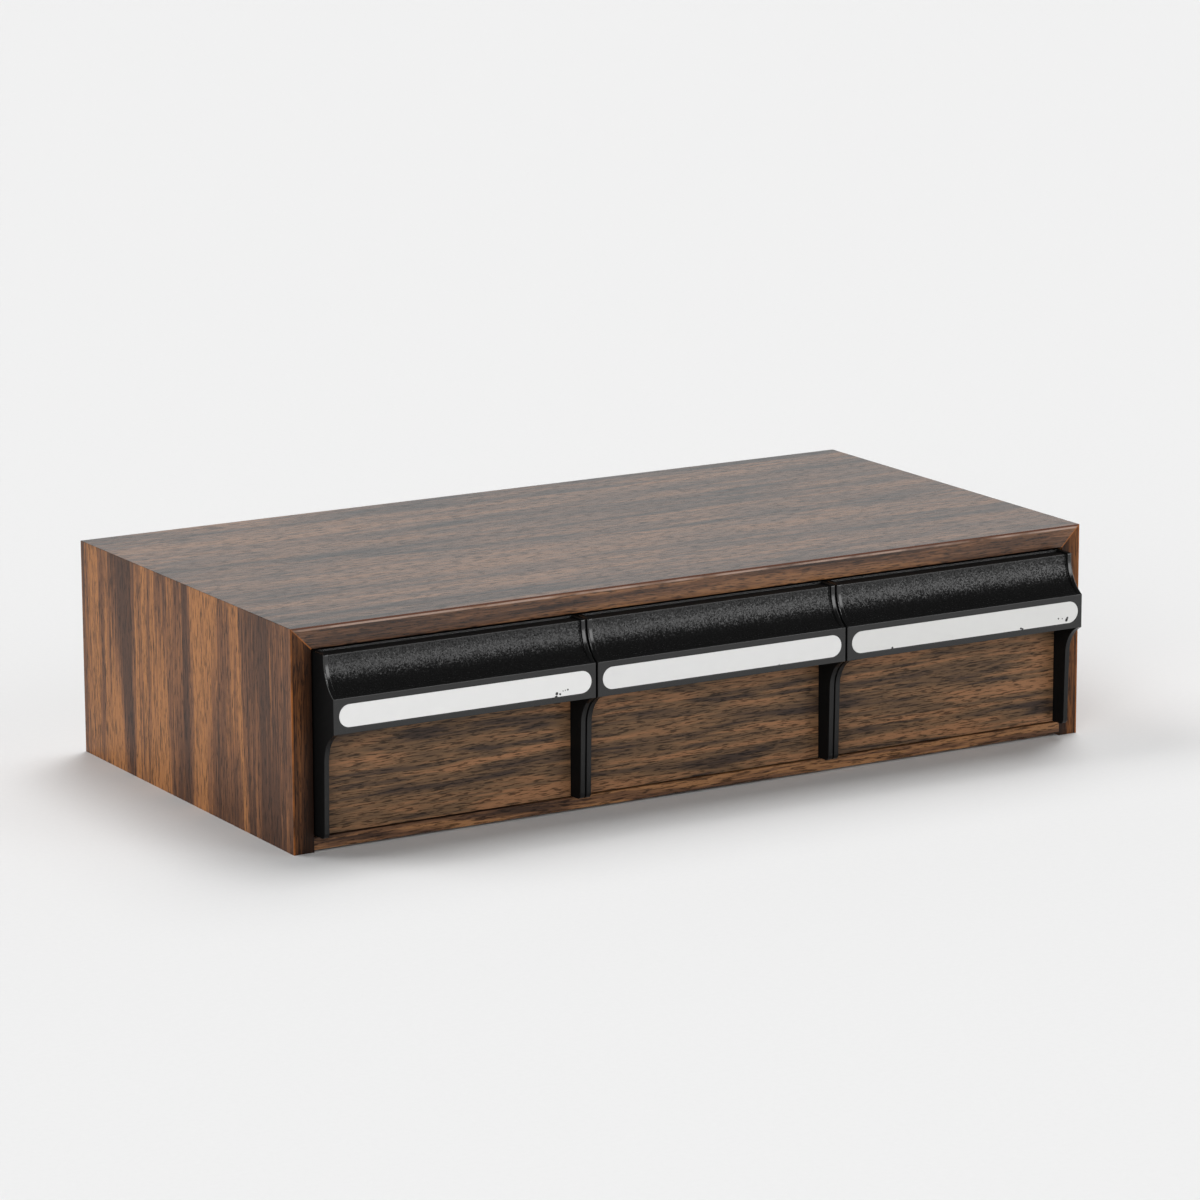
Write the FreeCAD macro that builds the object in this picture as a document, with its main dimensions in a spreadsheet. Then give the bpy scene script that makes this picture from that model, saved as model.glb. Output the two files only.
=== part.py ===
"""Cassette storage chest: a vinyl-wrapped chipboard cabinet with three sliding drawers.

Frame: +Z up, the drawers pull out towards -Y, millimetres. The origin is on the table under the
middle of the whole chest, pulls included. Every piece is drawn with y = 0 at the cabinet's front
face and then moved back to that frame by its Placement.
"""
import FreeCAD, Part
import math
import os
import re
import Sketcher

# ---------------------------------------------------------------------------------------------
# Driving dimensions
# ---------------------------------------------------------------------------------------------
DIMENSIONS = [
    # cabinet
    ("width", 482, "cabinet, outside, left to right"),
    ("depth", 246, "cabinet, front face to rear edge"),
    ("height", 117, "cabinet, table to top face"),
    ("board", 11.5, "chipboard of the top and the sides"),
    ("base_board", 6.4, "chipboard of the bottom panel"),
    ("base_lift", 1.3, "bottom panel above the table"),
    ("back_board", 3, "hardboard back panel"),
    ("back_recess", 1, "back panel sunk behind the rear edges"),
    ("back_play", 0.3, "gap round the back panel in its rabbet"),
    ("rabbet", 6, "width of the rabbet that takes the back panel"),
    ("partition", 4, "hardboard partition between two drawers"),
    ("groove", 3, "depth of the grooves that hold a partition"),
    ("groove_play", 0.1, "gap round a partition in its groove"),
    ("front_stop_gap", 0.3, "drawer front to partition edge, closed"),
    # drawer fronts
    ("side_gap", 1.2, "outer drawer front to cabinet side"),
    ("seam_gap", 1, "between two drawer fronts"),
    ("sill_gap", 0.9, "under a drawer front"),
    ("head_gap", 0.8, "over a drawer front"),
    ("rib", 2.65, "thickness of the side cheeks and ribs"),
    ("rib_proud", 10.2, "rib in front of the cabinet face, under the pull"),
    ("rib_foot_proud", 9.2, "the same at the foot of the rib"),
    ("rib_round", 3, "radius at the foot of a rib"),
    ("cheek_proud", 11, "cheek in front of the cabinet face, at the top"),
    ("cheek_round", 1, "radius at the top corner of a cheek"),
    ("bead_step", 1.6, "finger surface behind the cheeks, at the top"),
    ("lip_set", 0.8, "rear lip of the pull in front of the cabinet face"),
    ("lip_rise", 0.9, "rear lip above the top of the pull"),
    ("cove_start", 2.8, "start of the cove under the front's top edge"),
    ("pull_proud", 21.5, "label band in front of the cabinet face"),
    ("band_drop", 21, "top of the label band under the front's top edge"),
    ("band_tall", 18.3, "label band"),
    ("arris_round", 0.8, "radius of a pull's outer arrises, down to the band's foot"),
    ("tail", 16.3, "height of the sweep from the band down to the rib"),
    ("pull_wall", 2.2, "moulded wall of the pull"),
    ("flange", 1.6, "moulded plate behind the wood panel"),
    ("panel_set", 0.4, "wood panel behind the cabinet face"),
    ("panel_board", 8, "chipboard of the wood panel"),
    ("panel_play", 0.2, "gap round the wood panel in its frame"),
    ("label_end_margin", 2.75, "band beyond each end of the label's place"),
    ("label_edge_margin", 3.1, "band over and under the label's place"),
    ("label_thick", 0.25, "label strip"),
    ("label_recess", 0.3, "sunk place for the label strip"),
    ("label_play", 0.15, "gap round the label strip"),
    # trays and their combs
    ("tray_side_gap", 0.83, "tray to partition, each side"),
    ("tray_back_gap", 10, "tray to back panel, closed"),
    ("tray_tall", 62, "tray walls"),
    ("tray_wall", 2, "moulded wall and floor of the tray"),
    ("tray_round", 3, "radius of the tray's upright corners"),
    ("tray_lift", 0.3, "tray above the bottom panel"),
    ("tongue_wide", 60, "rear tongue that meets the stop"),
    ("tongue_gap", 1, "tongue under the top panel"),
    ("case_long", 109, "cassette case, from end to end"),
    ("case_play", 2, "free length in a slot"),
    ("slot_pitch", 18, "from slot to slot: room for a 17 mm case and one fin"),
    ("comb_tall", 55, "comb, from the tray's floor to its ledge"),
    ("comb_wall", 1.2, "moulded wall of a comb"),
    ("fin", 1.2, "thickness of a fin"),
    ("fin_deep", 5, "fin, out from the wall that the case ends meet"),
    ("fin_lead", 4, "slanted lead-in at the top of a fin"),
    # stops
    ("stop_wide", 40, "stop block"),
    ("stop_deep", 8, "stop block"),
    ("stop_tall", 10, "stop block"),
    ("stop_setback", 30, "stop block behind the cabinet face"),
    # fasteners
    ("screw_thick", 2.8, "shank of a front screw"),
    ("screw_long", 9, "shank of a front screw"),
    ("screw_head", 6, "head of a front screw"),
    ("screw_head_tall", 1.8, "head of a front screw"),
    ("screw_slot", 0.8, "driver slot in a screw head"),
    ("screw_play", 0.2, "hole over shank, across"),
    ("screw_side", 40, "front screw from the drawer's middle"),
    ("screw_low", 12, "lower screws above the tray's floor"),
    ("screw_high", 10, "upper screws under the tray's rim"),
    ("pin_thick", 1.4, "shank of a panel pin"),
    ("pin_long", 14, "shank of a panel pin"),
    ("pin_head", 3, "head of a panel pin"),
    ("pin_head_tall", 0.6, "head of a panel pin"),
    ("pin_play", 0.2, "hole over shank, across"),
    ("pin_end_gap", 19.5, "last pin of a row to the side panel"),
    ("side_pin_gap", 25.5, "side pins to the top and bottom panels"),
    ("dowel_thick", 4, "dowel between the bottom panel and a side"),
    ("dowel_in_side", 8, "dowel inside the side panel"),
    ("dowel_in_base", 12, "dowel inside the bottom panel"),
    ("dowel_play", 0.1, "hole over dowel, across and at each end"),
    ("dowel_end_gap", 43, "outer dowels to the front and rear edges"),
]
NAMES = {name for name, value, note in DIMENSIONS}

# Sizes and places worked out from the dimensions, used by name in the formulas below.
DERIVED = {
    "half_inside": "(width / 2 - board)",
    "ceiling": "(height - board)",
    "floor_top": "(base_lift + base_board)",
    "back_front": "(depth - back_board - back_recess)",
    "front_wide": "((width - 2 * board - 2 * side_gap - 2 * seam_gap) / 3)",
    "drawer_pitch": "(front_wide + seam_gap)",
    "front_low": "(floor_top + sill_gap)",
    "front_high": "(ceiling - head_gap)",
    "band_high": "(front_high - band_drop)",
    "band_low": "(band_high - band_tall)",
    "label_long": "(front_wide - 2 * label_end_margin)",
    "label_tall": "(band_tall - 2 * label_edge_margin)",
    "plate_front": "(panel_set + panel_board)",
    "plate_rear": "(plate_front + flange)",
    "partition_front": "(plate_rear + front_stop_gap)",
    "tray_low": "(floor_top + tray_lift)",
    "tray_top": "(tray_low + tray_tall)",
    "tray_half": "(drawer_pitch / 2 - partition / 2 - tray_side_gap)",
    "tray_inside": "(tray_half - tray_wall)",
    "tray_rear": "(back_front - tray_back_gap)",
    "slots": "floor((tray_rear - plate_rear - 2 * tray_wall - fin) / slot_pitch)",
    "comb_long": "(slots * slot_pitch + fin)",
    "comb_front": "((plate_rear + tray_rear - comb_long) / 2)",
    "comb_low": "(tray_low + tray_wall)",
    "comb_high": "(comb_low + comb_tall)",
    "slot_wall": "((case_long + case_play) / 2)",
    "pin_spacing": "((half_inside - pin_end_gap) / 2)",
    "dowel_spacing": "(depth / 2 - dowel_end_gap)",
    "front_shift": "((pull_proud - depth) / 2)",
}

doc = FreeCAD.newDocument("CassetteChest")
sheet = doc.addObject("Spreadsheet::Sheet", "Sizes")
for row, (name, value, note) in enumerate(DIMENSIONS, start=1):
    sheet.set(f"A{row}", name)
    sheet.set(f"B{row}", str(value))
    sheet.setAlias(f"B{row}", name)
    sheet.set(f"C{row}", note)
doc.recompute()

probe = doc.addObject("App::FeaturePython", "Probe")
probe.addProperty("App::PropertyFloat", "Result")


def bound(formula):
    """The formula with every size name pointing at its cell in the sheet."""
    def swap(word):
        name = word.group()
        if name in DERIVED:
            return bound(DERIVED[name])
        return "Sizes." + name if name in NAMES else name
    return re.sub(r"[a-z_]+", swap, formula)


def worth(formula):
    """The present value of a formula, used only to draw a sketch near its final shape."""
    probe.setExpression("Result", bound(formula))
    probe.recompute()
    return probe.Result


# ---------------------------------------------------------------------------------------------
# Sketching helpers
# ---------------------------------------------------------------------------------------------
def new_body(name, x_shift="0"):
    """A body whose own y = 0 is the cabinet's front face, x_shift to the right of the middle."""
    body = doc.addObject("PartDesign::Body", name)
    body.Label = name
    body.setExpression("Placement.Base.x", bound(x_shift))
    body.setExpression("Placement.Base.y", bound("front_shift"))
    return body


def origin_part(body, role):
    """The origin plane or axis of a body, by its role."""
    return next(item for item in body.Origin.OriginFeatures if item.Role == role)


def new_sketch(body, name, plane, offset="0"):
    """A sketch on an origin plane of its own body, moved along the plane's normal."""
    sketch = body.newObject("Sketcher::SketchObject", body.Name + "_" + name)
    sketch.AttachmentSupport = [(origin_part(body, plane), "")]
    sketch.MapMode = "FlatFace"
    sketch.setExpression("AttachmentOffset.Base.z", bound(offset))
    return sketch


def hold(sketch, geometry, point, place):
    """Dimension one point of a sketch from its origin, in both directions."""
    for kind, formula in zip(("DistanceX", "DistanceY"), place):
        index = sketch.addConstraint(
            Sketcher.Constraint(kind, -1, 1, geometry, point, worth(formula)))
        sketch.setExpression(f"Constraints[{index}]", bound(formula))


def tangent_arc(start, end, heading):
    """The arc from start to end that sets off along heading, as a Part.Arc and its direction."""
    across = FreeCAD.Vector(-heading.y, heading.x, 0)
    chord = end - start
    radius = chord.Length ** 2 / (2 * across.dot(chord))
    bulge = FreeCAD.Vector(-chord.y, chord.x, 0).normalize()
    if bulge.dot(heading) < 0:
        bulge = bulge * -1
    middle = start + across * radius + bulge * abs(radius)
    return Part.Arc(start, middle, end), radius > 0


def outline(sketch, corners):
    """A closed outline through corners, each (x formula, y formula) or the same and a word.

    The word tells how the edge arrives at that corner: "leaves" is an arc that sets off in line
    with the edge before it, "meets" an arc that ends in line with the edge after it.
    """
    spots = [FreeCAD.Vector(worth(corner[0]), worth(corner[1]), 0) for corner in corners]
    count = len(corners)
    ends = []
    for i in range(count):
        start, end = spots[i - 1], spots[i]
        way = corners[i][2] if len(corners[i]) > 2 else "straight"
        if way == "straight":
            edge, forward = Part.LineSegment(start, end), True
        elif way == "leaves":
            edge, forward = tangent_arc(start, end, (start - spots[i - 2]).normalize())
        else:
            ahead = (end - spots[(i + 1) % count]).normalize()
            edge, turned = tangent_arc(end, start, ahead)
            forward = not turned
        index = sketch.addGeometry(edge, False)
        ends.append((index, 1 if forward else 2, 2 if forward else 1, way))
    for i in range(count):
        index, first, last, way = ends[i]
        following, following_first = ends[(i + 1) % count][0], ends[(i + 1) % count][1]
        smooth = way == "meets" or ends[(i + 1) % count][3] == "leaves"
        joint = "Tangent" if smooth else "Coincident"
        sketch.addConstraint(Sketcher.Constraint(joint, index, last, following, following_first))
        hold(sketch, index, last, corners[i])


def rectangle(sketch, left, low, right, high):
    outline(sketch, [(left, low), (right, low), (right, high), (left, high)])


def circles(sketch, spots, across):
    """One circle of the diameter across on each spot."""
    for x, y in spots:
        centre = FreeCAD.Vector(worth(x), worth(y), 0)
        index = sketch.addGeometry(
            Part.Circle(centre, FreeCAD.Vector(0, 0, 1), worth(across) / 2), False)
        hold(sketch, index, 3, (x, y))
        size = sketch.addConstraint(Sketcher.Constraint("Diameter", index, worth(across)))
        sketch.setExpression(f"Constraints[{size}]", bound(across))


def pad(body, name, sketch, length, backwards=False, both_ways=False):
    feature = body.newObject("PartDesign::Pad", body.Name + "_" + name)
    feature.Profile = sketch
    feature.setExpression("Length", bound(length))
    feature.Reversed = backwards
    feature.Midplane = both_ways
    sketch.Visibility = False
    return feature


def pocket(body, name, sketch, length, backwards=False):
    """A pocket that has to take material away."""
    doc.recompute()
    before = body.Shape.Volume
    feature = body.newObject("PartDesign::Pocket", body.Name + "_" + name)
    feature.Profile = sketch
    feature.setExpression("Length", bound(length))
    feature.Reversed = backwards
    doc.recompute()
    if body.Shape.Volume >= before:
        raise RuntimeError(f"{feature.Name} cuts nothing")
    return feature


def round_edges(body, name, chosen, radius):
    """A fillet on the edges of the body for which chosen(edge) is true."""
    doc.recompute()
    base = body.Tip
    edges = [f"Edge{i}" for i, edge in enumerate(base.Shape.Edges, start=1) if chosen(edge)]
    if not edges:
        raise RuntimeError(f"{body.Name}_{name} finds no edge to round")
    feature = body.newObject("PartDesign::Fillet", body.Name + "_" + name)
    feature.Base = (base, edges)
    feature.setExpression("Radius", bound(radius))
    return feature


def near(value, formula):
    """Whether a coordinate of a body's own frame lies at the place a formula gives."""
    return abs(value - worth(formula)) < 0.01


def upright(edge):
    """Whether an edge is a straight line along Z."""
    first, last = edge.firstVertex().Point, edge.lastVertex().Point
    return isinstance(edge.Curve, Part.Line) and math.hypot(first.x - last.x, first.y - last.y) < 0.01


def sideways(edge):
    """Whether an edge is a straight line along X."""
    first, last = edge.firstVertex().Point, edge.lastVertex().Point
    return isinstance(edge.Curve, Part.Line) and math.hypot(first.y - last.y, first.z - last.z) < 0.01


def place(feature, x, y, z):
    """Put a primitive at a place measured from the cabinet's front face."""
    feature.setExpression("Placement.Base.x", bound(x))
    feature.setExpression("Placement.Base.y", bound(f"front_shift + ({y})"))
    feature.setExpression("Placement.Base.z", bound(z))


# ---------------------------------------------------------------------------------------------
# Cabinet
# ---------------------------------------------------------------------------------------------
PIN_COLUMNS = (-2, -1, 0, 1, 2)
TOP_PINS = [(f"{i} * pin_spacing", "ceiling + rabbet / 2") for i in PIN_COLUMNS]
BASE_PINS = [(f"{i} * pin_spacing", "base_lift + base_board / 2") for i in PIN_COLUMNS]
PIN_HOLE = "pin_thick + pin_play"
PIN_DEPTH = "pin_long - back_board + pin_play"
DOWEL_ROWS = (-1, 0, 1)
DOWELS = [(f"depth / 2 + {i} * dowel_spacing", "base_lift + base_board / 2") for i in DOWEL_ROWS]


def side_pins(side):
    levels = ("floor_top + side_pin_gap", "ceiling - side_pin_gap")
    return [(f"{side} * (half_inside + rabbet / 2)", level) for level in levels]


def pin_holes(body, spots):
    """Pilot holes for the panel pins, from the back panel forwards."""
    sketch = new_sketch(body, "pin_marks", "XZ_Plane", "-back_front")
    circles(sketch, spots, PIN_HOLE)
    pocket(body, "pin_holes", sketch, PIN_DEPTH, backwards=True)


def back_rabbet(body, left, low, right, high):
    """The step along the rear edge that takes the back panel."""
    sketch = new_sketch(body, "rabbet_mark", "XZ_Plane", "-depth")
    rectangle(sketch, left, low, right, high)
    pocket(body, "rabbet", sketch, "back_board + back_recess", backwards=True)


def partition_grooves(body, level, upwards):
    """Two grooves for the partitions, cut into the face at a level."""
    for name, side in (("left", "-1"), ("right", "1")):
        sketch = new_sketch(body, name + "_groove_mark", "XY_Plane", level)
        middle = f"{side} * drawer_pitch / 2"
        half = "(partition / 2 + groove_play)"
        rectangle(sketch, f"{middle} - {half}", "partition_front - groove_play",
                  f"{middle} + {half}", "back_front")
        pocket(body, name + "_groove", sketch, "groove", backwards=upwards)


def top_panel():
    """Chipboard, mitred to both sides."""
    body = new_body("top_panel")
    sketch = new_sketch(body, "section", "XZ_Plane")
    outline(sketch, [("-half_inside", "ceiling"), ("half_inside", "ceiling"),
                     ("width / 2", "height"), ("-width / 2", "height")])
    pad(body, "board", sketch, "depth", backwards=True)
    back_rabbet(body, "-half_inside - rabbet", "ceiling", "half_inside + rabbet", "ceiling + rabbet")
    partition_grooves(body, "ceiling", upwards=True)
    pin_holes(body, TOP_PINS)
    return body


def side_panel(name, side):
    """Chipboard, mitred to the top, its lower end on the table."""
    body = new_body(name)
    sketch = new_sketch(body, "section", "XZ_Plane")
    outline(sketch, [(f"{side} * width / 2", "0"), (f"{side} * width / 2", "height"),
                     (f"{side} * half_inside", "ceiling"), (f"{side} * half_inside", "0")])
    pad(body, "board", sketch, "depth", backwards=True)
    back_rabbet(body, f"{side} * half_inside", "0",
                f"{side} * (half_inside + rabbet)", "ceiling + rabbet")
    marks = new_sketch(body, "dowel_marks", "YZ_Plane", f"{side} * half_inside")
    circles(marks, DOWELS, "dowel_thick + dowel_play")
    pocket(body, "dowel_holes", marks, "dowel_in_side + dowel_play", backwards=side == "1")
    pin_holes(body, side_pins(side))
    return body


def bottom_panel():
    """Chipboard, butted between the sides and just clear of the table."""
    body = new_body("bottom_panel")
    sketch = new_sketch(body, "section", "XZ_Plane")
    rectangle(sketch, "-half_inside", "base_lift", "half_inside", "floor_top")
    pad(body, "board", sketch, "back_front", backwards=True)
    partition_grooves(body, "floor_top", upwards=False)
    for name, side in (("left", "-1"), ("right", "1")):
        marks = new_sketch(body, name + "_dowel_marks", "YZ_Plane", f"{side} * half_inside")
        circles(marks, DOWELS, "dowel_thick + dowel_play")
        pocket(body, name + "_dowel_holes", marks, "dowel_in_base + dowel_play", backwards=side == "-1")
    pin_holes(body, BASE_PINS)
    return body


def back_panel():
    """Hardboard, sunk in the rabbet and pinned to all four boards."""
    body = new_body("back_panel")
    sketch = new_sketch(body, "section", "XZ_Plane", "-back_front")
    half = "(half_inside + rabbet - back_play)"
    rectangle(sketch, f"-{half}", "base_lift", half, "ceiling + rabbet - back_play")
    pad(body, "board", sketch, "back_board", backwards=True)
    marks = new_sketch(body, "pin_marks", "XZ_Plane", "-back_front")
    circles(marks, TOP_PINS + BASE_PINS + side_pins("-1") + side_pins("1"), PIN_HOLE)
    pocket(body, "pin_holes", marks, "back_board")
    return body


def partition_panel(name, side):
    """Hardboard divider, held in grooves of the top and bottom panels."""
    board = doc.addObject("Part::Box", name)
    board.Label = name
    board.setExpression("Length", bound("partition"))
    board.setExpression("Width", bound("back_front - groove_play - partition_front"))
    board.setExpression("Height", bound("ceiling - floor_top + 2 * (groove - groove_play)"))
    place(board, f"{side} * drawer_pitch / 2 - partition / 2", "partition_front",
          "floor_top - groove + groove_play")
    return board


def round_bar(name, thick, long, direction, x, y, z):
    """A cylinder that starts at a place and runs along a direction."""
    bar = doc.addObject("Part::Cylinder", name)
    bar.setExpression("Radius", bound(f"({thick}) / 2"))
    bar.setExpression("Height", bound(long))
    bar.Placement.Rotation = FreeCAD.Rotation(FreeCAD.Vector(0, 0, 1), direction)
    place(bar, x, y, z)
    return bar


def group(name, pieces):
    """Like pieces kept as separate solids of one node."""
    bunch = doc.addObject("Part::Compound", name)
    bunch.Label = name
    bunch.Links = pieces
    return bunch


def headed(name, thick, long, head, head_tall, direction, x, y, z):
    """A pin or screw whose head bears on the surface at a place and whose shank runs on from it."""
    backwards = direction * -1
    shank = round_bar(name + "_shank", thick, long, direction, x, y, z)
    cap = round_bar(name + "_head", head, head_tall, backwards, x, y, z)
    whole = doc.addObject("Part::Fuse", name)
    whole.Base, whole.Tool = shank, cap
    return whole


FORWARD = FreeCAD.Vector(0, -1, 0)


def back_pins():
    """Panel pins through the back panel, heads under the level of the rear edges."""
    spots = TOP_PINS + BASE_PINS + side_pins("-1") + side_pins("1")
    return group("back_pins", [
        headed(f"pin_{i}", "pin_thick", "pin_long", "pin_head", "pin_head_tall", FORWARD,
               x, "back_front + back_board", z)
        for i, (x, z) in enumerate(spots, start=1)])


def bottom_dowels():
    """Wooden dowels that join the bottom panel to the sides."""
    dowels = []
    for name, side in (("left", "-1"), ("right", "1")):
        for i, (y, z) in enumerate(DOWELS, start=1):
            start = f"{side} * half_inside - " + ("dowel_in_side" if side == "-1" else "dowel_in_base")
            dowels.append(round_bar(f"{name}_dowel_{i}", "dowel_thick", "dowel_in_side + dowel_in_base",
                                    FreeCAD.Vector(1, 0, 0), start, y, z))
    return group("bottom_dowels", dowels)


# ---------------------------------------------------------------------------------------------
# Drawers
# ---------------------------------------------------------------------------------------------
DRAWERS = {"left": "-drawer_pitch", "middle": "0", "right": "drawer_pitch"}
SCREWS = [(f"{side} * screw_side", level) for side in ("-1", "1")
          for level in ("tray_low + tray_wall + screw_low", "tray_top - screw_high")]


def drawer_stops():
    """One block per drawer under the top panel, met by the tongue at the rear of a tray."""
    blocks = []
    for name, x in DRAWERS.items():
        block = doc.addObject("Part::Box", name + "_stop")
        block.setExpression("Length", bound("stop_wide"))
        block.setExpression("Width", bound("stop_deep"))
        block.setExpression("Height", bound("stop_tall"))
        place(block, f"{x} - stop_wide / 2", "stop_setback", "ceiling - stop_tall")
        blocks.append(block)
    return group("drawer_stops", blocks)


def pull_frame(name, x):
    """Moulded front: a plate behind the wood panel, two cheeks that run down as ribs, and the
    hollow pull between them, whose flat band carries the label."""
    body = new_body(name, x)
    plate = new_sketch(body, "plate_outline", "XZ_Plane", "-plate_front")
    rectangle(plate, "-front_wide / 2", "front_low", "front_wide / 2", "front_high")
    pad(body, "plate", plate, "flange", backwards=True)

    side_view = new_sketch(body, "cheek_outline", "YZ_Plane", "-front_wide / 2")
    outline(side_view, [("plate_rear", "front_high"),
                        ("-cheek_proud", "front_high"),
                        ("-cheek_proud", "front_high - cove_start"),
                        ("-pull_proud", "band_high", "leaves"),
                        ("-pull_proud", "band_low"),
                        ("-rib_proud", "band_low - tail", "meets"),
                        ("-rib_foot_proud", "front_low"),
                        ("plate_rear", "front_low")])
    cheek = pad(body, "cheek", side_view, "rib")
    mirror = body.newObject("PartDesign::Mirrored", name + "_other_cheek")
    mirror.Originals = [cheek]
    mirror.MirrorPlane = (origin_part(body, "YZ_Plane"), [""])
    body.Tip = mirror

    section = new_sketch(body, "pull_section", "YZ_Plane")
    outline(section, [("plate_front", "front_high"),
                      ("-lip_set", "front_high"),
                      ("-lip_set", "front_high - lip_rise"),
                      ("bead_step - cheek_proud", "front_high - lip_rise"),
                      ("bead_step - cheek_proud", "front_high - cove_start"),
                      ("-pull_proud", "band_high", "leaves"),
                      ("-pull_proud", "band_low"),
                      ("pull_wall - pull_proud", "band_low"),
                      ("pull_wall - pull_proud", "band_high - pull_wall"),
                      ("bead_step - cheek_proud + pull_wall", "front_high - cove_start - pull_wall / 2",
                       "meets"),
                      ("bead_step - cheek_proud + pull_wall", "front_high - lip_rise - pull_wall"),
                      ("plate_front", "front_high - lip_rise - pull_wall")])
    pad(body, "pull", section, "front_wide - rib", both_ways=True)

    def outer_arris(edge):
        ends = [vertex.Point for vertex in edge.Vertexes]
        return (all(near(abs(end.x), "front_wide / 2") for end in ends)
                and max(end.y for end in ends) < 0.01 - worth("cheek_proud")
                and min(end.z for end in ends) > worth("band_low") - 0.01)

    def rib_foot(edge):
        middle = edge.CenterOfMass
        return sideways(edge) and near(middle.z, "front_low") and near(middle.y, "-rib_foot_proud")

    def cheek_top(edge):
        middle = edge.CenterOfMass
        return sideways(edge) and near(middle.z, "front_high") and near(middle.y, "-cheek_proud")

    round_edges(body, "rib_feet", rib_foot, "rib_round")
    round_edges(body, "cheek_tops", cheek_top, "cheek_round")
    round_edges(body, "outer_arrises", outer_arris, "arris_round")

    label = new_sketch(body, "label_place", "XZ_Plane", "pull_proud")
    stadium(label, "label_long", "label_tall")
    pocket(body, "label_recess", label, "label_recess")
    screws = new_sketch(body, "screw_marks", "XZ_Plane", "-plate_front")
    circles(screws, SCREWS, "screw_thick + screw_play")
    pocket(body, "screw_holes", screws, "flange")
    return body


def stadium(sketch, long, tall):
    """An outline with round ends, in the middle of the label band."""
    middle = "(band_low + band_tall / 2)"
    straight = f"({long} - {tall}) / 2"
    outline(sketch, [(straight, f"{middle} - {tall} / 2"),
                     (straight, f"{middle} + {tall} / 2", "leaves"),
                     (f"-{straight}", f"{middle} + {tall} / 2"),
                     (f"-{straight}", f"{middle} - {tall} / 2", "leaves")])


def label_strip(name, x):
    """Stiff foil strip, stuck in the sunk place on the band."""
    body = new_body(name, x)
    sketch = new_sketch(body, "outline", "XZ_Plane", "pull_proud - label_recess")
    stadium(sketch, "(label_long - 2 * label_play)", "(label_tall - 2 * label_play)")
    pad(body, "strip", sketch, "label_thick")
    return body


def wood_panel(name, x):
    """Vinyl-faced chipboard between the ribs, its top edge hidden inside the pull."""
    body = new_body(name, x)
    sketch = new_sketch(body, "outline", "XZ_Plane", "-panel_set")
    half = "(front_wide / 2 - rib - panel_play)"
    rectangle(sketch, f"-{half}", "front_low", half, "front_high - lip_rise - pull_wall - panel_play")
    pad(body, "board", sketch, "panel_board", backwards=True)
    marks = new_sketch(body, "screw_marks", "XZ_Plane", "-plate_front")
    circles(marks, SCREWS, "screw_thick + screw_play")
    pocket(body, "pilot_holes", marks, "screw_long - flange - tray_wall + screw_play", backwards=True)
    return body


def drawer_tray(name, x):
    """Open moulded box; a tongue on its rear wall stands up to meet the stop block."""
    body = new_body(name, x)
    plan = new_sketch(body, "plan", "XY_Plane", "tray_low")
    rectangle(plan, "-tray_half", "plate_rear", "tray_half", "tray_rear")
    pad(body, "block", plan, "tray_tall")
    round_edges(body, "corners", upright, "tray_round")
    inside = new_sketch(body, "inside_plan", "XY_Plane", "tray_top")
    rectangle(inside, "-tray_inside", "plate_rear + tray_wall", "tray_inside", "tray_rear - tray_wall")
    pocket(body, "inside", inside, "tray_tall - tray_wall")
    tongue = new_sketch(body, "tongue_outline", "XZ_Plane", "tray_wall - tray_rear")
    rectangle(tongue, "-tongue_wide / 2", "tray_low + tray_wall", "tongue_wide / 2",
              "ceiling - tongue_gap")
    pad(body, "tongue", tongue, "tray_wall", backwards=True)
    marks = new_sketch(body, "screw_marks", "XZ_Plane", "-plate_rear")
    circles(marks, SCREWS, "screw_thick + screw_play")
    pocket(body, "screw_holes", marks, "tray_wall")
    return body


def slot_comb(name, x, side):
    """Rail along one tray wall, a channel with its open side down. Its inner wall meets the ends of
    the cassette cases, and a fin stands out of that wall between every two of them."""
    body = new_body(name, x)
    section = new_sketch(body, "rail_section", "XZ_Plane", "-comb_front")
    outline(section, [(f"{side} * tray_inside", "comb_low"),
                      (f"{side} * tray_inside", "comb_high"),
                      (f"{side} * slot_wall", "comb_high"),
                      (f"{side} * slot_wall", "comb_low"),
                      (f"{side} * (slot_wall + comb_wall)", "comb_low"),
                      (f"{side} * (slot_wall + comb_wall)", "comb_high - comb_wall"),
                      (f"{side} * (tray_inside - comb_wall)", "comb_high - comb_wall"),
                      (f"{side} * (tray_inside - comb_wall)", "comb_low")])
    pad(body, "rail", section, "comb_long", backwards=True)
    profile = new_sketch(body, "fin_outline", "XZ_Plane", "-comb_front")
    outline(profile, [(f"{side} * (slot_wall + comb_wall)", "comb_low"),
                      (f"{side} * (slot_wall - fin_deep)", "comb_low"),
                      (f"{side} * (slot_wall - fin_deep)", "comb_high - fin_lead"),
                      (f"{side} * (slot_wall - fin_deep + fin_lead)", "comb_high"),
                      (f"{side} * (slot_wall + comb_wall)", "comb_high")])
    fin = pad(body, "fin", profile, "fin", backwards=True)
    row = body.newObject("PartDesign::LinearPattern", name + "_fins")
    row.Originals = [fin]
    row.Direction = (origin_part(body, "Y_Axis"), [""])
    row.setExpression("Length", bound("slots * slot_pitch"))
    row.setExpression("Occurrences", bound("slots + 1"))
    body.Tip = row
    return body


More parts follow.
